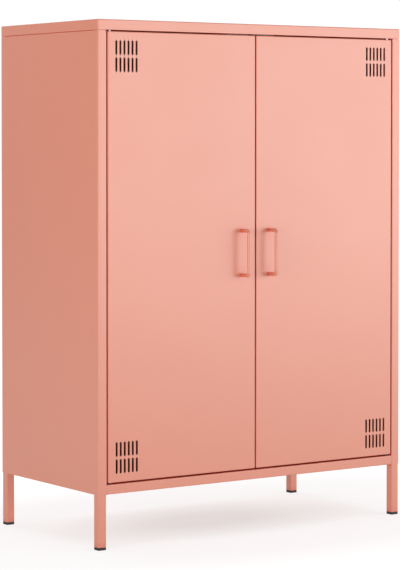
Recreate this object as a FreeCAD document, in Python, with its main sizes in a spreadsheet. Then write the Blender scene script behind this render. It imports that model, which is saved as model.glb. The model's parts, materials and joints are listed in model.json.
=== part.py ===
import FreeCAD, Part
import math
import os
import re
import Sketcher

# A two-door sheet steel locker cabinet on four square legs, in millimetres.
# +X is the user's right, the doors face -Y, +Z is up. The origin is on the floor, under the centre of
# the overall box, handles included. Sides are -1 for the left and +1 for the right.

SIZES = {
    # the body
    "width": 805,
    "depth": 400,
    "height": 1100,
    "gauge": 1,              # sheet thickness
    "bend": 2,               # outside radius of a fold
    "fold": 1,               # inside radius of a fold
    "skirt": 22,             # height of the top cap
    "seam": 1.6,             # shadow gap under the cap
    "seam_depth": 3,         # from the skin's outside to the riser behind the gap
    "underside": 115,        # floor to the bottom of the body
    "rail": 20.5,            # height of the bottom rail
    "post": 21,              # width of the front post faces
    "fit": 0.5,              # play between folded pieces
    "rear_return": 33,
    "flange": 15,
    # legs and feet
    "tube": 19,
    "tube_wall": 1.2,
    "foot_base": 6,
    "foot_plug": 15,
    "plug_play": 0.1,
    # top cap
    "cap_flange": 20,
    "cap_front_flange": 38,
    # back
    "pan_depth": 10,
    "anchor_spread": 600,
    "anchor_radius": 3,
    "anchor_height": 1040,
    # holes, by radius, and the screws that join the panels
    "tap_hole": 2.05,
    "screw_hole": 2.1,
    "handle_hole": 2.2,
    "panel_hole": 2.7,
    "nut_bore": 2.55,
    "panel_spread": 100,
    "back_screw_in": 27,     # from the outside of the body
    "back_screw_low": 45,
    "back_screw_high": 38,
    # doors
    "gap": 3,                # beside, between and under the doors
    "top_gap": 2.5,
    "door_depth": 18,
    "door_return": 12,
    "hinge_in": 8.5,         # pivot axis from the door's outer edge
    "hinge_back": 6.6,       # pivot axis behind the front
    "rib_width": 40,
    "rib_depth": 12,
    "rib_lip": 10,
    "rib_short": 30,
    # vents
    "slot_width": 5,
    "slot_length": 30,
    "slot_pitch": 10,
    "slot_row": 35.5,
    "vent_in": 21,
    "vent_margin": 18.5,
    # handles
    "reach": 30,
    "bar_width": 8,
    "fixing": 96,            # between the handle's screws
    "handle_in": 35,
    "handle_bend": 7,        # along the middle of the bar
    "tapped": 12,
    # pivots and bushes
    "pin_radius": 2.5,
    "pin_fit": 0.05,
    "pin_length": 15,
    "pin_point": 0.5,
    "pin_head": 4.5,
    "head_height": 2,
    "bush_radius": 3.5,
    "bush_play": 0.1,
    "bush_flange": 4.6,
    "bush_lip": 1.2,
    "bush_length": 8,
    "turning_play": 0.3,
    # shelves, rails and clips
    "shelf_inset": 23.5,
    "shelf_front": 30,
    "shelf_rear": 15,
    "shelf_fold": 25,
    "lower_slot": 10,        # rail slot that carries each shelf, counted from the lowest
    "upper_slot": 23,
    "rail_depth": 19.5,
    "rail_width": 30,
    "rail_front": 65,        # rail centres from the front and rear of the body
    "rail_back": 55,
    "rail_top": 40,
    "notch_width": 13,
    "notch_height": 5,
    "notch_pitch": 25,
    "notch_base": 185,
    "clip_drop": 12,
    "clip_width": 12,
    "clip_gauge": 1.5,
    "clip_play": 0.2,
    "clip_ledge": 14,
    "clip_hook": 7,
    "clip_rise": 6,
    # catches and stops
    "catch_in": 35,
    "catch_gap": 0.3,
    "housing_half": 16,
    "housing_depth": 15,
    "housing_height": 14,
    "ear_half": 28,
    "ear_height": 3,
    "ear_screw": 22,
    "ear_screw_back": 8,
    "magnet_half": 12,
    "magnet_depth": 6,
    "magnet_height": 8,
    "magnet_down": 4,
    "magnet_play": 0.1,
    "strike_gauge": 1.2,
    "strike_width": 30,
    "strike_height": 9,
    "strike_down": 2.5,
    "stop_gauge": 1.5,
    "stop_height": 16.5,
    "stop_foot": 16,
    "stop_screw": 9,
    "stop_half": 60,
    "button_in": 40,
    "button_radius": 5,
    "button_height": 2,
    "button_rise": 9.5,
    "button_edge": 0.6,
}

# Places that follow from the sizes.
HALF = "(width/2)"
FRONT = "(-(depth+reach)/2+reach)"
REAR = "((depth+reach)/2)"
CAP_BASE = "(height-skirt)"
SHEET_TOP = "(height-skirt-seam)"
FLOOR_TOP = "(underside+rail)"
POST_INNER = "(width/2-post)"
DOOR_BASE = "(underside+rail+gap)"
DOOR_TOP = "(height-skirt-top_gap)"
DOOR_REAR = f"({FRONT}+door_depth)"
DOOR_OUTER = f"({POST_INNER}-gap)"
DOOR_MIDDLE = f"(({DOOR_BASE}+{DOOR_TOP})/2)"
DOOR_CENTRE = f"(({DOOR_OUTER}+gap/2)/2)"
HANDLE_X = "(gap/2+handle_in)"
HINGE_X = f"({DOOR_OUTER}-hinge_in)"
HINGE_Y = f"({FRONT}+hinge_back)"
TUBE_X = "(width/2-gauge-tube/2)"
WEB_X = "(width/2-gauge-rail_depth)"
FRONT_RAIL_Y = f"({FRONT}+rail_front)"
REAR_RAIL_Y = f"({REAR}-rail_back)"
BODY_MIDDLE = f"(({FRONT}+{REAR})/2)"
PANEL_SCREW_X = "(width/2-seam_depth-flange/2)"
BACK_SCREW_X = "(width/2-back_screw_in)"
BACK_SCREWS = 5
CATCH_FACE = f"({DOOR_REAR}+strike_gauge+catch_gap)"
CATCH_SCREW_Y = f"({CATCH_FACE}+ear_screw_back)"
STOP_FACE = f"({DOOR_REAR}+catch_gap+button_height)"
STOP_SCREW_Y = f"({STOP_FACE}+stop_screw)"

SIDES = {"left": -1, "right": 1}

doc = FreeCAD.newDocument("LockerCabinet")
sheet = doc.addObject("Spreadsheet::Sheet", "Sizes")
nodes = []


# ---------------------------------------------------------------- sizes and expressions

def fill_sheet():
    for row, (alias, number) in enumerate(SIZES.items(), 1):
        sheet.set(f"A{row}", alias)
        sheet.set(f"B{row}", str(number))
        sheet.setAlias(f"B{row}", alias)
    doc.recompute()


def cells(expression):
    """The expression with each size's name turned into its cell."""
    def cell(word):
        return f"Sizes.{word.group()}" if word.group() in SIZES else word.group()
    return re.sub(r"[a-z_]+", cell, str(expression))


def value(expression):
    return float(sheet.evalExpression(cells(expression)))


def bind(thing, **properties):
    for name, expression in properties.items():
        thing.setExpression(name.replace("__", "."), cells(expression))


def place(thing, x="0", y="0", z="0", axis=(0, 0, 1), angle=0):
    thing.Placement.Rotation = FreeCAD.Rotation(FreeCAD.Vector(*axis), angle)
    bind(thing, Placement__Base__x=x, Placement__Base__y=y, Placement__Base__z=z)


def keep(thing, name):
    """Make a finished object one of the cabinet's sub-parts."""
    thing.Label = name
    nodes.append(thing)
    return thing


# ---------------------------------------------------------------- sketches

def origin_plane(body, role):
    return next(item for item in body.Origin.OriginFeatures if item.Role == role)


def sketch_on(body, name, role, level="0"):
    """A sketch parallel to an origin plane. XZ sketches face -Y, so their level is turned round."""
    sketch = body.newObject("Sketcher::SketchObject", f"{body.Name}_{name}")
    sketch.AttachmentSupport = (origin_plane(body, role), [""])
    sketch.MapMode = "FlatFace"
    sign = "-" if role == "XZ_Plane" else ""
    bind(sketch, AttachmentOffset__Base__z=f"{sign}({level})")
    return sketch


def fix(sketch, kind, geometry, point, expression):
    measure = Sketcher.Constraint(kind, -1, 1, geometry, point, value(expression))
    index = sketch.addConstraint(measure)
    sketch.setExpression(f"Constraints[{index}]", cells(expression))


def fix_radius(sketch, geometry, expression):
    index = sketch.addConstraint(Sketcher.Constraint("Radius", geometry, value(expression)))
    sketch.setExpression(f"Constraints[{index}]", cells(expression))


def arc(centre, radius, start, end):
    circle = Part.Circle(centre, FreeCAD.Vector(0, 0, 1), radius)
    return Part.ArcOfCircle(circle, math.radians(start), math.radians(end))


def add_loop(sketch, corners):
    first = sketch.GeometryCount
    points = [FreeCAD.Vector(value(x), value(y), 0) for x, y in corners]
    count = len(points)
    for i in range(count):
        sketch.addGeometry(Part.LineSegment(points[i], points[(i + 1) % count]), False)
    for i, (x, y) in enumerate(corners):
        joint = Sketcher.Constraint("Coincident", first + i, 2, first + (i + 1) % count, 1)
        sketch.addConstraint(joint)
        fix(sketch, "DistanceX", first + i, 1, x)
        fix(sketch, "DistanceY", first + i, 1, y)


def add_rectangle(sketch, x0, x1, y0, y1):
    add_loop(sketch, [(x0, y0), (x1, y0), (x1, y1), (x0, y1)])


def add_circle(sketch, x, y, radius):
    centre = FreeCAD.Vector(value(x), value(y), 0)
    circle = sketch.addGeometry(Part.Circle(centre, FreeCAD.Vector(0, 0, 1), value(radius)), False)
    fix(sketch, "DistanceX", circle, 3, x)
    fix(sketch, "DistanceY", circle, 3, y)
    fix_radius(sketch, circle, radius)


def add_slot(sketch, x, low, high, width):
    """An upright slot with round ends."""
    radius = value(width) / 2
    top = FreeCAD.Vector(value(x), value(high) - radius, 0)
    bottom = FreeCAD.Vector(value(x), value(low) + radius, 0)
    out = FreeCAD.Vector(radius, 0, 0)
    sketch.addGeometry(arc(top, radius, 0, 180), False)
    sketch.addGeometry(Part.LineSegment(top - out, bottom - out), False)
    sketch.addGeometry(arc(bottom, radius, 180, 360), False)
    sketch.addGeometry(Part.LineSegment(bottom + out, top + out), False)
    for i in range(4):
        sketch.addConstraint(Sketcher.Constraint("Tangent", i, 2, (i + 1) % 4, 1))
    fix(sketch, "DistanceX", 0, 3, x)
    fix(sketch, "DistanceY", 0, 3, f"{high}-{width}/2")
    fix(sketch, "DistanceY", 2, 3, f"{low}+{width}/2")
    fix_radius(sketch, 0, f"{width}/2")


def add_bow(sketch, half, out, bend):
    """An open path: two legs that start on x = 0 and go towards -x, two bends and a bar between them."""
    top, far, radius = value(half), value(out), value(bend)
    upper = FreeCAD.Vector(radius - far, top - radius, 0)
    lower = FreeCAD.Vector(radius - far, radius - top, 0)
    outward, upward = FreeCAD.Vector(-radius, 0, 0), FreeCAD.Vector(0, radius, 0)
    sketch.addGeometry(Part.LineSegment(FreeCAD.Vector(0, top, 0), upper + upward), False)
    sketch.addGeometry(arc(upper, radius, 90, 180), False)
    sketch.addGeometry(Part.LineSegment(upper + outward, lower + outward), False)
    sketch.addGeometry(arc(lower, radius, 180, 270), False)
    sketch.addGeometry(Part.LineSegment(lower - upward, FreeCAD.Vector(0, -top, 0)), False)
    for i in range(4):
        sketch.addConstraint(Sketcher.Constraint("Tangent", i, 2, i + 1, 1))
    for geometry, point, x, y in ((0, 1, "0", half), (1, 3, f"{bend}-{out}", f"{half}-{bend}"),
                                  (3, 3, f"{bend}-{out}", f"{bend}-{half}"), (4, 2, "0", f"-{half}")):
        fix(sketch, "DistanceX", geometry, point, x)
        fix(sketch, "DistanceY", geometry, point, y)
    for bent in (1, 3):
        fix_radius(sketch, bent, bend)


# ---------------------------------------------------------------- features

def new_body(name):
    return doc.addObject("PartDesign::Body", name)


def pad(body, sketch, length, midplane=False):
    feature = body.newObject("PartDesign::Pad", f"{sketch.Name}_pad")
    feature.Profile = sketch
    feature.Midplane = midplane
    bind(feature, Length=length)
    return feature


def pocket(body, sketch, length, along_normal=False):
    """Cut against the sketch's normal, or along it, and make sure that something was cut."""
    doc.recompute()
    before = body.Tip.Shape.Volume
    feature = body.newObject("PartDesign::Pocket", f"{sketch.Name}_cut")
    feature.Profile = sketch
    feature.Reversed = along_normal
    bind(feature, Length=length)
    doc.recompute()
    if not feature.Shape.Volume < before - 1e-3:
        raise RuntimeError(f"{feature.Name} cuts nothing")
    return feature


def lies_on(x=None, y=None, z=None):
    """A test for edges that lie at the given coordinates along their whole length."""
    given = {"X": x, "Y": y, "Z": z}
    wanted = [(axis, value(at)) for axis, at in given.items() if at is not None]

    def test(edge):
        box = edge.BoundBox
        spans = [(getattr(box, axis + "Min"), getattr(box, axis + "Max"), at) for axis, at in wanted]
        return all(abs(low - at) < 1e-3 and abs(high - at) < 1e-3 for low, high, at in spans)
    return test


def round_edges(body, radius, *tests):
    doc.recompute()
    base = body.Tip
    edges = enumerate(base.Shape.Edges, 1)
    names = [f"Edge{i}" for i, edge in edges if any(test(edge) for test in tests)]
    if not names:
        raise RuntimeError(f"{body.Name} has no edge to round")
    feature = body.newObject("PartDesign::Fillet", f"{base.Name}_round")
    feature.Base = (base, names)
    bind(feature, Radius=radius)
    return feature


def hollow(body, role, mouth, spans, deep, along_normal):
    """Leave one gauge of sheet round a block that is open at its mouth, with round inside folds."""
    sketch = sketch_on(body, "inside", role, mouth)
    (a0, a1), (b0, b1) = [(f"({low}+gauge)", f"({high}-gauge)") for low, high in spans]
    add_rectangle(sketch, a0, a1, b0, b1)
    pocket(body, sketch, f"{deep}-gauge", along_normal)
    first, second, third = {"XY_Plane": "xyz", "XZ_Plane": "xzy"}[role]
    inward = "+" if along_normal == (role == "XY_Plane") else "-"
    tests = [lies_on(**{first: a, second: b}) for a in (a0, a1) for b in (b0, b1)]
    round_edges(body, "fold", lies_on(**{third: f"{mouth}{inward}({deep}-gauge)"}), *tests)


def repeat(body, feature, *directions):
    """Repeat a cut along (axis role, spacing, count, reversed) directions, one after another."""
    grid = body.newObject("PartDesign::MultiTransform", f"{feature.Name}_grid")
    grid.Originals = [feature]
    steps = []
    for number, (role, spacing, count, backward) in enumerate(directions, 1):
        step = doc.addObject("PartDesign::LinearPattern", f"{feature.Name}_row{number}")
        step.Direction = (origin_plane(body, role), [""])
        step.Occurrences = count
        step.Reversed = backward
        bind(step, Length=f"({spacing})*{count - 1}")
        steps.append(step)
    grid.Transformations = steps
    body.Tip = grid
    doc.recompute()


def folded_strip(body, name, role, level, corners, length, bends, midplane=False):
    """Pad a strip's outline. bends lists its outside corners, then its inside corners."""
    sketch = sketch_on(body, name, role, level)
    add_loop(sketch, corners)
    pad(body, sketch, length, midplane)
    flat = {"XY_Plane": "xy", "YZ_Plane": "yz"}[role]
    for radius, places in zip(("bend", "fold"), bends):
        tests = [lies_on(**dict(zip(flat, corner))) for corner in places]
        round_edges(body, radius, *tests)


def hat_section(name, width, depth, lip, length):
    """A hat channel along Z with its lips on y = 0 and its crown towards +Y."""
    body = new_body(name)
    outer = f"{width}/2"
    inner = f"({width}/2-gauge)"
    corners = [
        (f"-({outer}+{lip})", "0"), (f"-{inner}", "0"), (f"-{inner}", f"{depth}-gauge"),
        (inner, f"{depth}-gauge"), (inner, "0"), (f"{outer}+{lip}", "0"), (f"{outer}+{lip}", "gauge"),
        (outer, "gauge"), (outer, depth), (f"-{outer}", depth), (f"-{outer}", "gauge"),
        (f"-({outer}+{lip})", "gauge"),
    ]
    crown = [(outer, depth), (f"-{outer}", depth)]
    root = [(inner, f"{depth}-gauge"), (f"-{inner}", f"{depth}-gauge")]
    folded_strip(body, "outline", "XY_Plane", "0", corners, length, (crown, root))
    return body


def turned(name, profile):
    """A body of revolution about Z from (radius, height) corners."""
    body = new_body(name)
    sketch = sketch_on(body, "profile", "XZ_Plane")
    add_loop(sketch, profile)
    feature = body.newObject("PartDesign::Revolution", f"{name}_turn")
    feature.Profile = sketch
    feature.ReferenceAxis = (sketch, ["V_Axis"])
    feature.Angle = 360
    return body


def block_along_y(name, x0, x1, y0, y1, z0, z1):
    body = new_body(name)
    sketch = sketch_on(body, "outline", "XZ_Plane", y1)
    add_rectangle(sketch, x0, x1, z0, z1)
    pad(body, sketch, f"({y1})-({y0})")
    return body


def corners_along_y(x0, x1, z0, z1):
    return [lies_on(x=x, z=z) for x in (x0, x1) for z in (z0, z1)]


def plate(name, x0, x1, y0, y1, z0, z1):
    """A flat piece that faces -Y, with rounded corners."""
    body = block_along_y(name, x0, x1, y0, y1, z0, z1)
    round_edges(body, "fold", *corners_along_y(x0, x1, z0, z1))
    return body


def folded_pan(name, x0, x1, y0, y1, z0, z1, opens_to_front):
    """A shallow folded pan that opens to the front (-Y) or to the rear."""
    body = block_along_y(name, x0, x1, y0, y1, z0, z1)
    face, mouth = (y1, y0) if opens_to_front else (y0, y1)
    round_edges(body, "bend", lies_on(y=face), *corners_along_y(x0, x1, z0, z1))
    hollow(body, "XZ_Plane", mouth, ((x0, x1), (z0, z1)), f"(({y1})-({y0}))", not opens_to_front)
    return body


def copies(master, name, places):
    """One node made of several copies of a piece. places lists the keywords of place()."""
    links = []
    for number, where in enumerate(places, 1):
        link = doc.addObject("App::Link", f"{name}_{number}")
        link.LinkedObject = master
        place(link, **where)
        links.append(link)
    group = doc.addObject("Part::Compound", name)
    group.Links = links
    return keep(group, name)


# ---------------------------------------------------------------- cabinet shell

def side_panel(word, side):
    """One sheet, folded round both of its legs: inner return, post face, side skin, rear return.

    Under the cap the skin steps inwards and up, which leaves a shadow gap, and ends in a flange."""
    body = new_body(f"{word}_side_panel")
    outer, inner = f"{side}*{HALF}", f"{side}*({HALF}-gauge)"
    post, post_inside = f"{side}*{POST_INNER}", f"{side}*({POST_INNER}+gauge)"
    lip = f"{side}*({HALF}-rear_return)"
    corners = [
        (post, f"{FRONT}+post"), (post, FRONT), (outer, FRONT), (outer, REAR), (lip, REAR),
        (lip, f"{REAR}-gauge"), (inner, f"{REAR}-gauge"), (inner, f"{FRONT}+gauge"),
        (post_inside, f"{FRONT}+gauge"), (post_inside, f"{FRONT}+post"),
    ]
    folded_strip(body, "outline", "XY_Plane", "underside", corners, f"{SHEET_TOP}-underside",
                 (corners[1:4], corners[6:9]))
    front, rear = f"{FRONT}+post+fit", f"{REAR}-gauge-tube-fit"
    riser, behind = f"{side}*({HALF}-seam_depth)", f"{side}*({HALF}-seam_depth-gauge)"
    for name, start, tall in (("ledge", inner, "gauge"), ("riser", riser, "gauge+seam")):
        sketch = sketch_on(body, name, "XY_Plane", f"{SHEET_TOP}-gauge")
        add_rectangle(sketch, start, behind, front, rear)
        pad(body, sketch, tall)
    for name, level, start in (("top_flange", f"{CAP_BASE}-gauge", riser),
                               ("floor_flange", f"{FLOOR_TOP}-2*gauge", inner)):
        sketch = sketch_on(body, name, "XY_Plane", level)
        add_rectangle(sketch, start, f"{side}*({HALF}-gauge-flange)", front, rear)
        for x, y in panel_screws(side):
            add_circle(sketch, x, y, "panel_hole")
        pad(body, sketch, "gauge")
    holes = sketch_on(body, "back_holes", "XZ_Plane", f"{REAR}-2*gauge")
    for height in back_screw_heights():
        add_circle(holes, f"{side}*{BACK_SCREW_X}", height, "screw_hole")
    pocket(body, holes, "3*gauge")
    keep(body, f"{word}_side_panel")


def panel_screws(side):
    """Where the cap and the floor are screwed to one side panel's flanges."""
    return [(f"{side}*{PANEL_SCREW_X}", f"{BODY_MIDDLE}+{step}*panel_spread") for step in (-1, 1)]


def back_screw_heights():
    low, high = "(underside+back_screw_low)", f"({CAP_BASE}-back_screw_high)"
    last = BACK_SCREWS - 1
    return [f"{low}+({high}-{low})*{i}/{last}" for i in range(BACK_SCREWS)]


def upright_corners(half):
    return [lies_on(x=f"{i}*{half}", y=f"{j}*{half}") for i in (-1, 1) for j in (-1, 1)]


def leg(name, side, y):
    """Square tube from its foot to the underside of the cap."""
    body = new_body(name)
    sketch = sketch_on(body, "section", "XY_Plane")
    outer, inner = "tube/2", "(tube/2-tube_wall)"
    add_rectangle(sketch, f"-{outer}", outer, f"-{outer}", outer)
    add_rectangle(sketch, f"-{inner}", inner, f"-{inner}", inner)
    pad(body, sketch, f"{CAP_BASE}-foot_base")
    for radius, half in (("bend", outer), ("fold", inner)):
        round_edges(body, radius, *upright_corners(half))
    place(body, f"{side}*{TUBE_X}", y, "foot_base")
    keep(body, name)


def foot(name, side, y):
    """Plastic cap with a plug that goes up inside the tube."""
    body = new_body(name)
    for part, half, low, tall in (("base", "tube/2", "0", "foot_base"),
                                  ("plug", "(tube/2-tube_wall-plug_play)", "foot_base", "foot_plug")):
        sketch = sketch_on(body, part, "XY_Plane", low)
        add_rectangle(sketch, f"-{half}", half, f"-{half}", half)
        pad(body, sketch, tall)
        round_edges(body, "bend" if part == "base" else "fold", *upright_corners(half))
    round_edges(body, "fold", lies_on(z="0"))
    place(body, f"{side}*{TUBE_X}", y, "0")
    keep(body, name)


def top_panel():
    """Folded cap with a return flange all round, deeper at the front for the pivots and catches."""
    body = new_body("top_panel")
    block = sketch_on(body, "block", "XY_Plane", CAP_BASE)
    add_rectangle(block, f"-{HALF}", HALF, FRONT, REAR)
    pad(body, block, "skirt")
    corner_tests = [lies_on(x=f"{side}*{HALF}", y=y) for side in SIDES.values() for y in (FRONT, REAR)]
    round_edges(body, "bend", lies_on(z="height"), *corner_tests)
    hollow(body, "XY_Plane", CAP_BASE, ((f"-{HALF}", HALF), (FRONT, REAR)), "skirt", True)
    ring = sketch_on(body, "flange", "XY_Plane", CAP_BASE)
    add_rectangle(ring, f"-({HALF}-gauge)", f"{HALF}-gauge", f"{FRONT}+gauge", f"{REAR}-gauge")
    inner_x = f"({HALF}-gauge-cap_flange)"
    add_rectangle(ring, f"-{inner_x}", inner_x, f"{FRONT}+cap_front_flange", f"{REAR}-gauge-cap_flange")
    for side in SIDES.values():
        add_circle(ring, f"{side}*{HINGE_X}", HINGE_Y, "pin_radius+pin_fit")
        for x, y in panel_screws(side):
            add_circle(ring, x, y, "panel_hole")
        for x in catch_screws(side):
            add_circle(ring, x, CATCH_SCREW_Y, "screw_hole")
    pad(body, ring, "gauge")
    outside = [lies_on(x=f"{side}*{HALF}", z=CAP_BASE) for side in SIDES.values()]
    outside += [lies_on(y=y, z=CAP_BASE) for y in (FRONT, REAR)]
    round_edges(body, "fold", *outside)
    keep(body, "top_panel")


def bottom_panel():
    """Folded floor: front rail, floor and rear rail in one sheet, with a wing over each side flange."""
    body = new_body("bottom_panel")
    rear = f"({REAR}-gauge-pan_depth-fit)"
    lip = "flange"
    corners = [
        (f"{FRONT}+{lip}", "underside"), (FRONT, "underside"), (FRONT, FLOOR_TOP), (rear, FLOOR_TOP),
        (rear, "underside"), (f"{rear}-{lip}", "underside"), (f"{rear}-{lip}", "underside+gauge"),
        (f"{rear}-gauge", "underside+gauge"), (f"{rear}-gauge", f"{FLOOR_TOP}-gauge"),
        (f"{FRONT}+gauge", f"{FLOOR_TOP}-gauge"), (f"{FRONT}+gauge", "underside+gauge"),
        (f"{FRONT}+{lip}", "underside+gauge"),
    ]
    folded_strip(body, "outline", "YZ_Plane", "0", corners, f"2*{POST_INNER}",
                 (corners[1:5], corners[7:11]), midplane=True)
    for word, side in SIDES.items():
        wing = sketch_on(body, f"{word}_wing", "XY_Plane", f"{FLOOR_TOP}-gauge")
        add_rectangle(wing, f"{side}*({POST_INNER}-post)", f"{side}*({HALF}-gauge-fit)",
                      f"{FRONT}+post+fit", f"{REAR}-gauge-tube-fit")
        pad(body, wing, "gauge")
    holes = sketch_on(body, "holes", "XY_Plane", f"{FLOOR_TOP}+gauge")
    for side in SIDES.values():
        add_circle(holes, f"{side}*{HINGE_X}", HINGE_Y, "pin_radius+pin_fit")
        add_circle(holes, f"{side}*button_in", STOP_SCREW_Y, "screw_hole")
        for x, y in panel_screws(side):
            add_circle(holes, x, y, "panel_hole")
    pocket(body, holes, "3*gauge")
    keep(body, "bottom_panel")


def back_panel():
    """Shallow pan, its folds towards the inside, with two holes for fixing the cabinet to a wall."""
    half = f"({POST_INNER}-fit)"
    low, high = "(underside+gauge)", CAP_BASE
    rear = f"({REAR}-gauge)"
    body = folded_pan("back_panel", f"-{half}", half, f"({rear}-pan_depth)", rear, low, high, True)
    holes = sketch_on(body, "holes", "XZ_Plane", f"{rear}-2*gauge")
    for side in SIDES.values():
        add_circle(holes, f"{side}*anchor_spread/2", "anchor_height", "anchor_radius")
        for height in back_screw_heights():
            add_circle(holes, f"{side}*{BACK_SCREW_X}", height, "screw_hole")
    pocket(body, holes, "3*gauge")
    keep(body, "back_panel")


# ---------------------------------------------------------------- shelves

def shelf_rail(name, side, y):
    """C-channel with a ladder of slots, its flanges against the side skin."""
    body = new_body(name)
    outer, web, inside = "0", "-rail_depth", "(-rail_depth+gauge)"
    half = "rail_width/2"
    corners = [
        (outer, f"-{half}"), (web, f"-{half}"), (web, half), (outer, half), (outer, f"{half}-gauge"),
        (inside, f"{half}-gauge"), (inside, f"-{half}+gauge"), (outer, f"-{half}+gauge"),
    ]
    start = f"({FLOOR_TOP}+fit)"
    folded_strip(body, "outline", "XY_Plane", start, corners, f"{CAP_BASE}-{start}-rail_top",
                 (corners[1:3], corners[5:7]))
    notch = sketch_on(body, "notch", "YZ_Plane", inside)
    add_rectangle(notch, "-notch_width/2", "notch_width/2",
                  "notch_base-notch_height/2", "notch_base+notch_height/2")
    cut = pocket(body, notch, "2*gauge")
    count = math.floor(value(f"({CAP_BASE}-rail_top-notch_base)/notch_pitch"))
    repeat(body, cut, ("Z_Axis", "notch_pitch", count, False))
    place(body, f"{side}*({HALF}-gauge)", y, "0", angle=0 if side > 0 else 180)
    keep(body, name)


def shelf(word, slot):
    """Folded tray, face up, with return flanges front and rear and a hat channel under it."""
    top = f"(notch_base+{slot}*notch_pitch-clip_drop+shelf_fold)"
    half = "(width/2-shelf_inset)"
    front, rear = f"({FRONT}+shelf_front)", f"({REAR}-shelf_rear)"
    body = new_body(f"{word}_shelf")
    block = sketch_on(body, "block", "XY_Plane", "-shelf_fold")
    add_rectangle(block, f"-{half}", half, front, rear)
    pad(body, block, "shelf_fold")
    round_edges(body, "bend", lies_on(z="0"))
    hollow(body, "XY_Plane", "-shelf_fold", ((f"-{half}", half), (front, rear)), "shelf_fold", True)
    for name, near, far in (("front_lip", f"{front}+gauge/2", f"{front}+flange"),
                            ("rear_lip", f"{rear}-flange", f"{rear}-gauge/2")):
        lip = sketch_on(body, name, "XY_Plane", "-shelf_fold")
        add_rectangle(lip, f"-({half}-gauge-fit)", f"{half}-gauge-fit", near, far)
        pad(body, lip, "gauge")
    place(body, z=top)
    keep(body, f"{word}_shelf")
    rib = hat_section(f"{word}_shelf_stiffener", "rib_width", "rib_depth", "rib_lip",
                      f"2*({half}-rib_width)")
    place(rib, f"-({half}-rib_width)", f"({front}+{rear})/2", f"{top}-gauge")
    rib.Placement.Rotation = FreeCAD.Rotation(FreeCAD.Vector(1, 1, 0), FreeCAD.Vector(0, 0, -1),
                                              FreeCAD.Vector(1, 0, 0), "ZYX")
    keep(rib, f"{word}_shelf_stiffener")


def clip_master():
    """Bent clip: a hook behind the rail's web, a plate against it and a ledge for the shelf."""
    body = new_body("clip_master")
    sketch = sketch_on(body, "outline", "XZ_Plane")
    plate_back, plate_front = "clip_play", "(clip_play+clip_gauge)"
    hook_front, hook_back = "-(gauge+clip_play)", "-(gauge+clip_play+clip_gauge)"
    tongue, under = "clip_gauge/2", "-clip_drop-clip_gauge"
    add_loop(sketch, [
        (plate_front, "-clip_drop"), ("clip_ledge", "-clip_drop"), ("clip_ledge", under),
        (plate_back, under), (plate_back, f"-{tongue}"), (hook_front, f"-{tongue}"),
        (hook_front, "-clip_hook"), (hook_back, "-clip_hook"), (hook_back, tongue), (plate_back, tongue),
        (plate_back, "clip_rise"), (plate_front, "clip_rise"),
    ])
    pad(body, sketch, "clip_width", midplane=True)
    return body


def shelf_clips(master, word, slot):
    height = f"notch_base+{slot}*notch_pitch"
    places = [{"x": f"{side}*{WEB_X}", "y": y, "z": height, "angle": 180 if side > 0 else 0}
              for side in SIDES.values() for y in (FRONT_RAIL_Y, REAR_RAIL_Y)]
    copies(master, f"{word}_shelf_clips", places)


# ---------------------------------------------------------------- doors

def door_panel(word, side):
    """Folded pan with returns, vent slots near its outer edge, and holes for its bushes and handle."""
    low, high = sorted((f"({side}*gap/2)", f"({side}*{DOOR_OUTER})"), key=value)
    body = folded_pan(f"{word}_door_panel", low, high, FRONT, DOOR_REAR, DOOR_BASE, DOOR_TOP, False)
    ring = sketch_on(body, "returns", "XZ_Plane", DOOR_REAR)
    for inset in ("gauge", "(gauge+door_return)"):
        add_rectangle(ring, f"{side}*(gap/2+{inset})", f"{side}*({DOOR_OUTER}-{inset})",
                      f"{DOOR_BASE}+{inset}", f"{DOOR_TOP}-{inset}")
    pad(body, ring, "gauge")
    slot = sketch_on(body, "slot", "XZ_Plane", f"{FRONT}-gauge")
    top = f"({DOOR_TOP}-vent_margin)"
    add_slot(slot, f"{side}*({DOOR_OUTER}-vent_in)", f"({top}-slot_length)", top, "slot_width")
    cut = pocket(body, slot, "3*gauge")
    group_drop = f"{DOOR_TOP}-{DOOR_BASE}-2*vent_margin-slot_row-slot_length"
    repeat(body, cut, ("X_Axis", "slot_pitch", 6, side > 0), ("Z_Axis", "slot_row", 2, True),
           ("Z_Axis", group_drop, 2, True))
    holes = sketch_on(body, "handle_holes", "XZ_Plane", f"{FRONT}-gauge")
    for step in (-1, 1):
        add_circle(holes, f"{side}*{HANDLE_X}", f"{DOOR_MIDDLE}+{step}*fixing/2", "handle_hole")
    pocket(body, holes, "3*gauge")
    for name, level in (("top_hole", f"{DOOR_TOP}+gauge"), ("bottom_hole", f"{DOOR_BASE}+2*gauge")):
        hole = sketch_on(body, name, "XY_Plane", level)
        add_circle(hole, f"{side}*{HINGE_X}", HINGE_Y, "bush_radius+bush_play")
        pocket(body, hole, "3*gauge")
    keep(body, f"{word}_door_panel")


def door_stiffener(word, side):
    rib = hat_section(f"{word}_door_stiffener", "rib_width", "rib_depth", "rib_lip",
                      f"{DOOR_TOP}-{DOOR_BASE}-2*rib_short")
    place(rib, f"{side}*{DOOR_CENTRE}", f"{FRONT}+gauge", f"{DOOR_BASE}+rib_short")
    keep(rib, f"{word}_door_stiffener")


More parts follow.
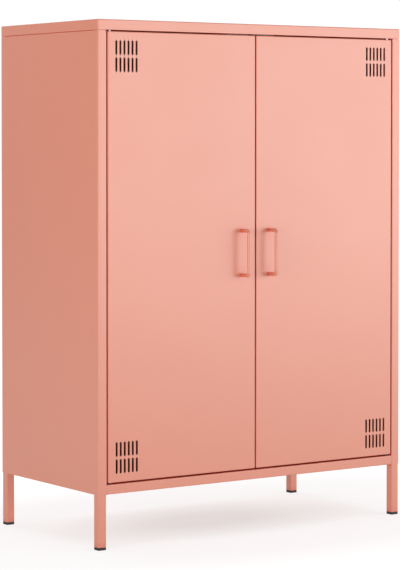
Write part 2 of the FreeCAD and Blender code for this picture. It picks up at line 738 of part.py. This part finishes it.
def handle(word, side):
    """Bow of round bar, bent cold and tapped at both ends."""
    body = new_body(f"{word}_handle")
    bow = sketch_on(body, "bow", "YZ_Plane")
    add_bow(bow, "fixing/2", "(reach-bar_width/2)", "handle_bend")
    section = sketch_on(body, "section", "XZ_Plane")
    add_circle(section, "0", "fixing/2", "bar_width/2")
    bar = body.newObject("PartDesign::AdditivePipe", f"{word}_handle_bar")
    bar.Profile = section
    bar.Spine = bow
    holes = sketch_on(body, "holes", "XZ_Plane", "-tapped")
    for step in (-1, 1):
        add_circle(holes, "0", f"{step}*fixing/2", "tap_hole")
    pocket(body, holes, "tapped+gauge")
    place(body, f"{side}*{HANDLE_X}", FRONT, DOOR_MIDDLE)
    keep(body, f"{word}_handle")


def pivots(word, side):
    """Headed pins, one down from the cap and one up from the floor."""
    pin, tip, head = "pin_radius", "(pin_radius-pin_point)", "pin_head"
    for name, level, turn in (("top_pivot", CAP_BASE, 180), ("bottom_pivot", FLOOR_TOP, 0)):
        body = turned(f"{word}_{name}", [
            ("0", "-gauge-head_height"), (head, "-gauge-head_height"), (head, "-gauge"), (pin, "-gauge"),
            (pin, "pin_length-pin_point"), (tip, "pin_length"), ("0", "pin_length"),
        ])
        place(body, f"{side}*{HINGE_X}", HINGE_Y, level, axis=(1, 0, 0), angle=turn)
        keep(body, f"{word}_{name}")


def bushes(word, side):
    """Flanged bushes in the door's upper and lower edges, which turn on the pivots."""
    where = {"x": f"{side}*{HINGE_X}", "y": HINGE_Y}
    bore, barrel, flange = "(pin_radius+pin_fit)", "bush_radius", "bush_flange"
    upper = turned(f"{word}_door_top_bush", [
        (bore, "-bush_length"), (barrel, "-bush_length"), (barrel, "-gauge-bush_lip"),
        (flange, "-gauge-bush_lip"), (flange, "-gauge"), (barrel, "-gauge"), (barrel, "0"), (bore, "0"),
    ])
    place(upper, z=DOOR_TOP, **where)
    keep(upper, f"{word}_door_top_bush")
    seat = "-(gap-turning_play)"
    lower = turned(f"{word}_door_bottom_bush", [
        (bore, seat), (flange, seat), (flange, "0"), (barrel, "0"), (barrel, "bush_length"),
        (bore, "bush_length"),
    ])
    place(lower, z=DOOR_BASE, **where)
    keep(lower, f"{word}_door_bottom_bush")


# ---------------------------------------------------------------- catches and stops

def catch_screws(side):
    return [f"{side}*catch_in+{step}*ear_screw" for step in (-1, 1)]


def catch_housing(word, side):
    """Moulded housing with two ears, screwed up under the cap's front flange."""
    centre = f"{side}*catch_in"
    rear = f"{CATCH_FACE}+housing_depth"
    body = plate(f"{word}_catch_housing", f"{centre}-housing_half", f"{centre}+housing_half",
                 f"{CATCH_FACE}+catch_gap", rear, f"{CAP_BASE}-housing_height", CAP_BASE)
    ears = sketch_on(body, "ears", "XY_Plane", f"{CAP_BASE}-ear_height")
    add_rectangle(ears, f"{centre}-ear_half", f"{centre}+ear_half", f"{CATCH_FACE}+gauge", rear)
    pad(body, ears, "ear_height")
    recess = sketch_on(body, "recess", "XZ_Plane", f"{CATCH_FACE}-gauge")
    half = "(magnet_half+magnet_play)"
    top = f"({CAP_BASE}-magnet_down)"
    add_rectangle(recess, f"{centre}-{half}", f"{centre}+{half}",
                  f"{top}-magnet_height-magnet_play", f"{top}+magnet_play")
    pocket(body, recess, "gauge+magnet_depth")
    holes = sketch_on(body, "holes", "XY_Plane", f"{CAP_BASE}+gauge")
    for x in catch_screws(side):
        add_circle(holes, x, CATCH_SCREW_Y, "screw_hole")
    pocket(body, holes, "2*gauge+ear_height")
    keep(body, f"{word}_catch_housing")


def magnet_and_strike(word, side):
    """The magnet in its housing, and the plate on the door that it pulls."""
    centre, top = f"{side}*catch_in", f"({CAP_BASE}-magnet_down)"
    magnet = plate(f"{word}_catch_magnet", f"{centre}-magnet_half", f"{centre}+magnet_half",
                   CATCH_FACE, f"{CATCH_FACE}+magnet_depth", f"{top}-magnet_height", top)
    keep(magnet, f"{word}_catch_magnet")
    high = f"({DOOR_TOP}-strike_down)"
    strike = plate(f"{word}_strike_plate", f"{centre}-strike_width/2", f"{centre}+strike_width/2",
                   DOOR_REAR, f"{DOOR_REAR}+strike_gauge", f"{high}-strike_height", high)
    keep(strike, f"{word}_strike_plate")


def door_stop():
    """Angle screwed to the floor behind the doors' lower edges."""
    body = new_body("door_stop")
    face, back = STOP_FACE, f"{STOP_FACE}+stop_foot"
    base, top = FLOOR_TOP, f"{FLOOR_TOP}+stop_height"
    sketch = sketch_on(body, "outline", "YZ_Plane")
    add_loop(sketch, [
        (face, base), (face, top), (f"{face}+stop_gauge", top), (f"{face}+stop_gauge", f"{base}+stop_gauge"),
        (back, f"{base}+stop_gauge"), (back, base),
    ])
    pad(body, sketch, "2*stop_half", midplane=True)
    round_edges(body, "fold", lies_on(y=face, z=base))
    round_edges(body, "bend", *[lies_on(x=f"{i}*stop_half", z=top) for i in (-1, 1)])
    holes = sketch_on(body, "holes", "XY_Plane", f"{base}+2*stop_gauge")
    for side in SIDES.values():
        add_circle(holes, f"{side}*button_in", STOP_SCREW_Y, "screw_hole")
    pocket(body, holes, "3*stop_gauge")
    keep(body, "door_stop")


def stop_buttons():
    """A rubber button for each door, on the front of the stop."""
    button = turned("button_master", [
        ("0", "0"), ("button_radius", "0"), ("button_radius", "button_height-button_edge"),
        ("button_radius-button_edge", "button_height"), ("0", "button_height"),
    ])
    places = [{"x": f"{side}*button_in", "y": STOP_FACE, "z": f"{FLOOR_TOP}+button_rise",
               "axis": (1, 0, 0), "angle": 90} for side in SIDES.values()]
    copies(button, "door_stop_buttons", places)


# ---------------------------------------------------------------- fasteners

def screw_master(name, radius, length, head, height):
    """Pan-head screw, its shank towards -Z and its head on z = 0, with a cross recess."""
    point = 0.25 * radius
    body = turned(name, [
        ("0", -length), (radius - point, -length), (radius, point - length), (radius, "0"),
        (head, "0"), (head, 0.5 * height), (0.7 * head, height), ("0", height),
    ])
    recess = sketch_on(body, "recess", "XY_Plane", 2 * height)
    arm, web = 0.5 * head, 0.13 * head
    add_loop(recess, [
        (-web, -arm), (web, -arm), (web, -web), (arm, -web), (arm, web), (web, web),
        (web, arm), (-web, arm), (-web, web), (-arm, web), (-arm, -web), (-web, -web),
    ])
    pocket(body, recess, 1.6 * height)
    return body


def nut_master(name, across, tall):
    """Hexagon nut standing on z = 0."""
    body = new_body(name)
    sketch = sketch_on(body, "hexagon", "XY_Plane")
    corner = across / math.sqrt(3)
    angles = [math.radians(60 * i + 30) for i in range(6)]
    add_loop(sketch, [(corner * math.cos(angle), corner * math.sin(angle)) for angle in angles])
    add_circle(sketch, "0", "0", "nut_bore")
    pad(body, sketch, tall)
    return body


def panel_fasteners():
    """Screws and nuts that hold the cap and the floor to the side panels."""
    screw = screw_master("panel_screw", radius=2.5, length=12, head=4.6, height=2.8)
    nut_height = 4
    nut = nut_master("panel_nut", across=8, tall=nut_height)
    spots = [{"x": x, "y": y} for side in SIDES.values() for x, y in panel_screws(side)]
    head_down = {"axis": (1, 0, 0), "angle": 180}
    copies(screw, "top_panel_screws", [{**spot, "z": f"{CAP_BASE}-gauge", **head_down} for spot in spots])
    copies(nut, "top_panel_nuts", [{**spot, "z": f"{CAP_BASE}+gauge"} for spot in spots])
    copies(screw, "bottom_panel_screws", [{**spot, "z": FLOOR_TOP} for spot in spots])
    under_floor = f"{FLOOR_TOP}-2*gauge-{nut_height}"
    copies(nut, "bottom_panel_nuts", [{**spot, "z": under_floor} for spot in spots])


def back_fasteners():
    """Self-tapping screws through the side panels' rear returns into the back."""
    screw = screw_master("back_screw", radius=2, length=9, head=3.8, height=1.6)
    places = [{"x": f"{side}*{BACK_SCREW_X}", "y": REAR, "z": height, "axis": (1, 0, 0), "angle": -90}
              for side in SIDES.values() for height in back_screw_heights()]
    copies(screw, "back_panel_screws", places)


def small_fasteners():
    """Screws for the handles, the catches and the door stop."""
    screw = screw_master("small_screw", radius=2, length=12, head=3.8, height=2.4)
    for word, side in SIDES.items():
        places = [{"x": f"{side}*{HANDLE_X}", "y": f"{FRONT}+gauge", "z": f"{DOOR_MIDDLE}+{step}*fixing/2",
                   "axis": (1, 0, 0), "angle": -90} for step in (-1, 1)]
        copies(screw, f"{word}_handle_screws", places)
    places = [{"x": x, "y": CATCH_SCREW_Y, "z": f"{CAP_BASE}-ear_height", "axis": (1, 0, 0), "angle": 180}
              for side in SIDES.values() for x in catch_screws(side)]
    copies(screw, "catch_screws", places)
    places = [{"x": f"{side}*button_in", "y": STOP_SCREW_Y, "z": f"{FLOOR_TOP}+stop_gauge"}
              for side in SIDES.values()]
    copies(screw, "door_stop_screws", places)


# ---------------------------------------------------------------- assembly

def build():
    fill_sheet()
    clip = clip_master()
    leg_rows = {"front": f"({FRONT}+gauge+tube/2)", "rear": f"({REAR}-gauge-tube/2)"}
    rail_rows = {"front": FRONT_RAIL_Y, "rear": REAR_RAIL_Y}
    for word, side in SIDES.items():
        side_panel(word, side)
        for row, y in leg_rows.items():
            leg(f"{row}_{word}_leg", side, y)
            foot(f"{row}_{word}_foot", side, y)
        for row, y in rail_rows.items():
            shelf_rail(f"{word}_{row}_shelf_rail", side, y)
        door_panel(word, side)
        door_stiffener(word, side)
        handle(word, side)
        pivots(word, side)
        bushes(word, side)
        catch_housing(word, side)
        magnet_and_strike(word, side)
    top_panel()
    bottom_panel()
    back_panel()
    for word, slot in (("lower", "lower_slot"), ("upper", "upper_slot")):
        shelf(word, slot)
        shelf_clips(clip, word, slot)
    door_stop()
    stop_buttons()
    panel_fasteners()
    back_fasteners()
    small_fasteners()
    doc.recompute()


def check_and_export():
    failed = [item.Name for item in doc.Objects if {"Invalid", "Error"} & set(item.State)]
    bad = [node.Label for node in nodes if node.Shape.isNull() or not node.Shape.isValid()]
    if failed or bad:
        raise RuntimeError(f"failed objects {failed}, bad shapes {bad}")
    os.makedirs("parts", exist_ok=True)
    for node in nodes:
        node.Shape.exportStep(f"parts/{node.Label}.step")
    print(f"{len(nodes)} sub-parts written")


build()
check_and_export()
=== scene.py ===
import json
import math

import bpy
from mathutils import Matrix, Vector


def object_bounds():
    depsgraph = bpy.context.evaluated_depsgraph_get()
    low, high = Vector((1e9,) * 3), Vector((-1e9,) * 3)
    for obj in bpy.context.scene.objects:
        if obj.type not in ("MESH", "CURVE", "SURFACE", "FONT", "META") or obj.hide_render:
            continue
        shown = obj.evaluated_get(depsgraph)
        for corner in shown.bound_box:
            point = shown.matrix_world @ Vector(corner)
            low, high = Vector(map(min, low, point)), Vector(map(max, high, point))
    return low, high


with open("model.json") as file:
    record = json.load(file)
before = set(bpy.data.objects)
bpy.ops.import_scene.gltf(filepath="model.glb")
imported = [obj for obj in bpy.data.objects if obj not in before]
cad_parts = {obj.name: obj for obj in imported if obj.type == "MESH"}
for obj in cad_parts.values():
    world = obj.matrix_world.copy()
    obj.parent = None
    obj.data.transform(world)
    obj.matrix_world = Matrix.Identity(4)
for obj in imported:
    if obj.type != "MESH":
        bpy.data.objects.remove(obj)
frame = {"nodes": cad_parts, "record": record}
cad_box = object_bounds()

# Everything is in metres, in the cabinet's own frame: +X right, the doors face -Y, +Z up.
# The cabinet is rigid all over, so its CAD nodes keep their shapes and only get their materials here.

# Camera, at the photograph's viewing angle.
CAMERA_AT = (-2.8817, -4.1240, 0.8595)
CAMERA_YAW = math.radians(34.772)
CAMERA_TILT = math.radians(1.5)
LENS_MM = 142.56
SENSOR_MM = 36.0
SHIFT_DOWN = -0.1583
CLIP_END = 100.0

# Studio. The floor gives painted light of its own: least under the cabinet, where it paints a shadow,
# most far away from it.
FLOOR_SIZE = 60.0
PAINTED_SHADOW_REACH = (0.40, 0.20)  # half the size of the painted shadow's oval on the floor
# The floor's glow is lowest under the cabinet, which paints a shadow there.
PAINTED_SHADOW_GLOW = 0.60
GLOW_BESIDE = 0.76
GLOW_ADDED_FAR = 0.30
FLOOR_BOUNCE = 0.66          # share of the floor's own light that reaches the cabinet
WORLD_LIGHT = 0.20
BACKDROP_LIGHT = 1.05

# Colours, linear.
WHITE = (1.0, 1.0, 1.0, 1.0)
CORAL = (0.700, 0.226, 0.136)
CORAL_WORN = (0.77, 0.32, 0.23)
# A deeper red, painted as shade into gaps and corners.
CORAL_PAINTED_SHADE = (0.68, 0.055, 0.027)
ZINC = (0.56, 0.575, 0.60)
ZINC_BRIGHT = (0.74, 0.75, 0.77)
ZINC_DULL = (0.50, 0.50, 0.50)
FERRITE = (0.035, 0.036, 0.04)
FERRITE_GROUND = (0.10, 0.10, 0.11)
FLOOR_GREY = (0.32, 0.32, 0.32)


def shade(colour, factor):
    return tuple(factor * part for part in colour)


# ---------------------------------------------------------------- node helpers

class Nodes:
    """A short way to write a material's node tree."""

    def __init__(self, name):
        self.material = bpy.data.materials.new(name)
        self.material.use_nodes = True
        self.tree = self.material.node_tree
        self.tree.nodes.clear()
        self.output = self.add("ShaderNodeOutputMaterial")
        self.coords = self.add("ShaderNodeTexCoord")

    def add(self, kind, **settings):
        node = self.tree.nodes.new(kind)
        for key, setting in settings.items():
            setattr(node, key, setting)
        return node

    def link(self, start, end):
        self.tree.links.new(start, end)

    def set(self, node, **inputs):
        for key, setting in inputs.items():
            node.inputs[key.replace("_", " ").title()].default_value = setting
        return node

    def stretched(self, x, y, z):
        """Object coordinates, scaled apart along each axis."""
        mapping = self.set(self.add("ShaderNodeMapping"), scale=(x, y, z))
        self.link(self.coords.outputs["Object"], mapping.inputs["Vector"])
        return mapping.outputs["Vector"]

    def noise(self, scale, detail=2.0, roughness=0.5, vector=None):
        node = self.set(self.add("ShaderNodeTexNoise"), scale=scale, detail=detail, roughness=roughness)
        self.link(vector or self.coords.outputs["Object"], node.inputs["Vector"])
        return node.outputs["Fac"]

    def cells(self, scale):
        node = self.set(self.add("ShaderNodeTexVoronoi"), scale=scale)
        self.link(self.coords.outputs["Object"], node.inputs["Vector"])
        return node.outputs["Distance"]

    def ramp(self, value, low, high, to_low=0.0, to_high=1.0):
        node = self.set(self.add("ShaderNodeMapRange"),
                        from_min=low, from_max=high, to_min=to_low, to_max=to_high)
        self.link(value, node.inputs["Value"])
        return node.outputs["Result"]

    def maths(self, operation, first, second):
        node = self.add("ShaderNodeMath", operation=operation, use_clamp=True)
        for socket, term in zip(node.inputs, (first, second)):
            if isinstance(term, (int, float)):
                socket.default_value = term
            else:
                self.link(term, socket)
        return node.outputs["Value"]

    def mix(self, factor, first, second):
        node = self.add("ShaderNodeMix", data_type="RGBA")
        for name, term in (("Factor_Float", factor), ("A_Color", first), ("B_Color", second)):
            socket = next(s for s in node.inputs if s.identifier == name)
            if isinstance(term, tuple):
                socket.default_value = (*term, 1.0)
            else:
                self.link(term, socket)
        return next(s for s in node.outputs if s.identifier == "Result_Color")

    def edges(self, radius, sharp, soft):
        """1 along the edges of the metal, 0 on its faces."""
        rounded = self.set(self.add("ShaderNodeBevel", samples=6), radius=radius)
        flat = self.add("ShaderNodeNewGeometry")
        dot = self.add("ShaderNodeVectorMath", operation="DOT_PRODUCT")
        self.link(rounded.outputs["Normal"], dot.inputs[0])
        self.link(flat.outputs["Normal"], dot.inputs[1])
        return self.ramp(dot.outputs["Value"], sharp, soft, 1.0, 0.0)

    def painted_shade_mask(self, reach, deep, clear):
        """Ambient occlusion used to paint shade: 1 deep inside gaps, 0 on open faces."""
        node = self.set(self.add("ShaderNodeAmbientOcclusion", samples=6), distance=reach)
        return self.ramp(node.outputs["AO"], deep, clear, 1.0, 0.0)

    def bump(self, height, distance, strength, under=None):
        node = self.set(self.add("ShaderNodeBump"), distance=distance, strength=strength)
        self.link(height, node.inputs["Height"])
        if under is not None:
            self.link(under, node.inputs["Normal"])
        return node.outputs["Normal"]

    def finish(self, colour, roughness, normal, **constants):
        self.shader = self.add("ShaderNodeBsdfPrincipled")
        for key, term in (("Base Color", colour), ("Roughness", roughness), ("Normal", normal)):
            self.link(term, self.shader.inputs[key])
        for key, constant in constants.items():
            self.shader.inputs[key.replace("_", " ")].default_value = constant
        self.link(self.shader.outputs["BSDF"], self.output.inputs["Surface"])
        return self.material


# ---------------------------------------------------------------- materials

def powder_coat():
    """Satin coral powder coat: orange peel, faint cloudiness, thin and polished along the folds.

    Gaps and corners get painted shade, a deeper red, as where light bounces between two coral
    faces. The gloss is softer where a face is seen at a shallow angle."""
    n = Nodes("coral_powder_coat")
    clouds = n.noise(1.7)
    specks = n.noise(1900.0, detail=1.0)
    scuffs = n.ramp(n.noise(75.0, detail=4.0, roughness=0.65), 0.42, 0.62)
    worn = n.maths("MULTIPLY", n.edges(radius=0.0012, sharp=0.93, soft=0.995), scuffs)
    tone = n.mix(n.ramp(clouds, 0.3, 0.7), shade(CORAL, 0.985), shade(CORAL, 1.015))
    speckled = n.mix(n.ramp(specks, 0.62, 0.78, 0.0, 0.16), tone, CORAL_WORN)
    rubbed = n.mix(n.maths("MULTIPLY", worn, 0.45), speckled, CORAL_WORN)
    # Painted shade: gaps and corners are mixed towards a deeper red by ambient occlusion.
    colour = n.mix(n.painted_shade_mask(reach=0.026, deep=0.40, clear=0.85), rubbed, CORAL_PAINTED_SHADE)

    patches = n.ramp(n.noise(9.0, detail=3.0, roughness=0.55), 0.3, 0.7, 0.36, 0.40)
    grazing = n.add("ShaderNodeLayerWeight").outputs["Facing"]
    softened = n.maths("ADD", patches, n.ramp(grazing, 0.5, 0.8, 0.0, 0.28))
    roughness = n.maths("SUBTRACT", softened, n.maths("MULTIPLY", worn, 0.08))

    peel = n.bump(n.noise(620.0, roughness=0.45), distance=0.00005, strength=0.5)
    ripple = n.bump(n.noise(120.0), distance=0.00004, strength=0.2, under=peel)
    return n.finish(colour, roughness, ripple,
                    Specular_IOR_Level=1.0, Coat_Weight=0.35, Coat_Roughness=0.25)


def zinc_steel():
    """Zinc plate: fine spangle, faint rub marks, duller in patches."""
    n = Nodes("zinc_plated_steel")
    rubs = n.noise(160.0, detail=4.0, roughness=0.6, vector=n.stretched(1.0, 1.0, 9.0))
    spangle = n.mix(n.ramp(n.cells(900.0), 0.0, 0.7), ZINC, ZINC_BRIGHT)
    colour = n.mix(n.ramp(rubs, 0.45, 0.7, 0.0, 0.5), spangle, ZINC_DULL)
    roughness = n.ramp(rubs, 0.3, 0.7, 0.26, 0.46)
    return n.finish(colour, roughness, n.bump(rubs, distance=0.00004, strength=0.5), Metallic=1.0)


def moulded_plastic(name, dark, light, roughness, grain=1400.0):
    """Moulded plastic with a spark-eroded grain and a little dust in it."""
    n = Nodes(name)
    grit = n.noise(grain, detail=3.0, roughness=0.6)
    dust = n.ramp(n.noise(60.0, detail=4.0, roughness=0.6), 0.45, 0.75)
    colour = n.mix(n.maths("MULTIPLY", dust, grit), dark, light)
    sheen = n.ramp(n.noise(40.0, detail=3.0), 0.3, 0.7, *roughness)
    return n.finish(colour, sheen, n.bump(grit, distance=0.00005, strength=0.6))


def ferrite():
    """Sintered magnet, ground on its face."""
    n = Nodes("ground_ferrite")
    lines = n.noise(500.0, detail=3.0, roughness=0.6, vector=n.stretched(0.05, 1.0, 1.0))
    colour = n.mix(lines, FERRITE, FERRITE_GROUND)
    roughness = n.ramp(lines, 0.3, 0.7, 0.42, 0.62)
    return n.finish(colour, roughness, n.bump(lines, distance=0.00004, strength=0.6), Metallic=0.3)


def slot_finishes():
    """One material for each material slot of the record."""
    return {
        "powder_coat": powder_coat(),
        "zinc_steel": zinc_steel(),
        "black_plastic": moulded_plastic("black_foot_plastic", dark=(0.012, 0.011, 0.011),
                                         light=(0.06, 0.055, 0.05), roughness=(0.42, 0.6)),
        "white_plastic": moulded_plastic("white_catch_plastic", dark=(0.70, 0.69, 0.66),
                                         light=(0.82, 0.81, 0.78), roughness=(0.32, 0.45)),
        "nylon": moulded_plastic("black_nylon", dark=(0.02, 0.019, 0.018),
                                 light=(0.06, 0.058, 0.055), roughness=(0.35, 0.5), grain=900.0),
        "rubber": moulded_plastic("black_rubber", dark=(0.02, 0.02, 0.02),
                                  light=(0.07, 0.07, 0.07), roughness=(0.7, 0.9), grain=2200.0),
        "ferrite": ferrite(),
    }


def dress_nodes():
    """Give every CAD node the finish of its material slot."""
    finishes = slot_finishes()
    slots = {part["node"]: part["material_slot"] for part in frame["record"]["subparts"]}
    for name, node in frame["nodes"].items():
        finish = finishes[slots[name]]
        if not node.material_slots:
            node.data.materials.append(finish)
        for slot in node.material_slots:
            slot.material = finish


# ---------------------------------------------------------------- studio

def studio_floor():
    """White floor with a painted glow of its own, dimmer under the cabinet, so that only a soft painted
    shadow lies there.
    """
    n = Nodes("studio_floor")
    across, along = PAINTED_SHADOW_REACH
    away = n.add("ShaderNodeVectorMath", operation="LENGTH")
    n.link(n.stretched(1 / across, 1 / along, 0.0), away.inputs[0])
    # The distances below are multiples of PAINTED_SHADOW_REACH.
    # Painted shadow: the glow is lowest under the cabinet and rises away from it.
    painted_shadow_glow = n.ramp(away.outputs["Value"], 0.3, 1.1, PAINTED_SHADOW_GLOW, GLOW_BESIDE)
    far = n.ramp(away.outputs["Value"], 2.0, 5.0, 0.0, GLOW_ADDED_FAR)
    rays = n.add("ShaderNodeLightPath")
    seen = n.ramp(rays.outputs["Is Camera Ray"], 0.0, 1.0, FLOOR_BOUNCE, 1.0)
    glow = n.maths("MULTIPLY", n.maths("ADD", painted_shadow_glow, far), seen)
    roughness = n.ramp(n.noise(5.0), 0.3, 0.7, 0.75, 0.85)
    colour = n.mix(n.noise(1.5), FLOOR_GREY, shade(FLOOR_GREY, 0.98))
    n.finish(colour, roughness, n.bump(n.noise(400.0), distance=0.00005, strength=0.1),
             Specular_IOR_Level=0.0, Emission_Color=WHITE)
    n.link(glow, n.shader.inputs["Emission Strength"])
    return n.material


def add_floor():
    half = FLOOR_SIZE / 2
    mesh = bpy.data.meshes.new("studio_floor")
    corners = [(-half, -half, 0.0), (half, -half, 0.0), (half, half, 0.0), (-half, half, 0.0)]
    mesh.from_pydata(corners, [], [(0, 1, 2, 3)])
    floor = bpy.data.objects.new("studio_floor", mesh)
    floor.location.z = cad_box[0].z
    bpy.context.scene.collection.objects.link(floor)
    mesh.materials.append(studio_floor())


def add_world():
    """Soft white light all round, and a brighter white behind everything that the camera sees."""
    world = bpy.data.worlds.new("studio_world")
    world.use_nodes = True
    tree = world.node_tree
    background = tree.nodes["Background"]
    background.inputs["Strength"].default_value = WORLD_LIGHT
    backdrop = tree.nodes.new("ShaderNodeBackground")
    backdrop.inputs["Strength"].default_value = BACKDROP_LIGHT
    rays = tree.nodes.new("ShaderNodeLightPath")
    choose = tree.nodes.new("ShaderNodeMixShader")
    tree.links.new(rays.outputs["Is Camera Ray"], choose.inputs["Fac"])
    tree.links.new(background.outputs["Background"], choose.inputs[1])
    tree.links.new(backdrop.outputs["Background"], choose.inputs[2])
    tree.links.new(choose.outputs["Shader"], tree.nodes["World Output"].inputs["Surface"])
    for node in (background, backdrop):
        node.inputs["Color"].default_value = WHITE
    bpy.context.scene.world = world


def look_at(thing, target):
    thing.rotation_euler = (Vector(target) - thing.location).to_track_quat("-Z", "Y").to_euler()


def softbox(name, at, width, height, watts):
    """A rectangular light that faces the middle of the cabinet."""
    light = bpy.data.lights.new(name, "AREA")
    light.shape = "RECTANGLE"
    light.size = width
    light.size_y = height
    light.energy = watts
    lamp = bpy.data.objects.new(name, light)
    lamp.location = at
    bpy.context.scene.collection.objects.link(lamp)
    look_at(lamp, (cad_box[0] + cad_box[1]) / 2)


def add_lights():
    softbox("key_softbox", at=(3.6, -3.35, 1.12), width=5.8, height=2.4, watts=142.0)
    softbox("left_fill", at=(-3.9, -2.0, 0.7), width=2.6, height=1.6, watts=90.0)
    softbox("overhead", at=(0.0, 0.2, 4.0), width=3.5, height=3.5, watts=50.0)
    softbox("rear_fill", at=(-0.4, 4.2, 1.9), width=2.6, height=2.2, watts=46.0)


def add_camera():
    camera = bpy.data.cameras.new("photo_camera")
    camera.lens = LENS_MM
    camera.sensor_width = SENSOR_MM
    camera.shift_y = SHIFT_DOWN
    camera.clip_end = CLIP_END
    holder = bpy.data.objects.new("photo_camera", camera)
    holder.location = CAMERA_AT
    ahead = Vector((math.sin(CAMERA_YAW) * math.cos(CAMERA_TILT),
                    math.cos(CAMERA_YAW) * math.cos(CAMERA_TILT),
                    -math.sin(CAMERA_TILT)))
    look_at(holder, holder.location + ahead)
    bpy.context.scene.collection.objects.link(holder)
    bpy.context.scene.camera = holder
    bpy.context.scene.view_settings.view_transform = "Standard"


# ---------------------------------------------------------------- scene

dress_nodes()
add_floor()
add_world()
add_lights()
add_camera()
bpy.context.view_layer.update()
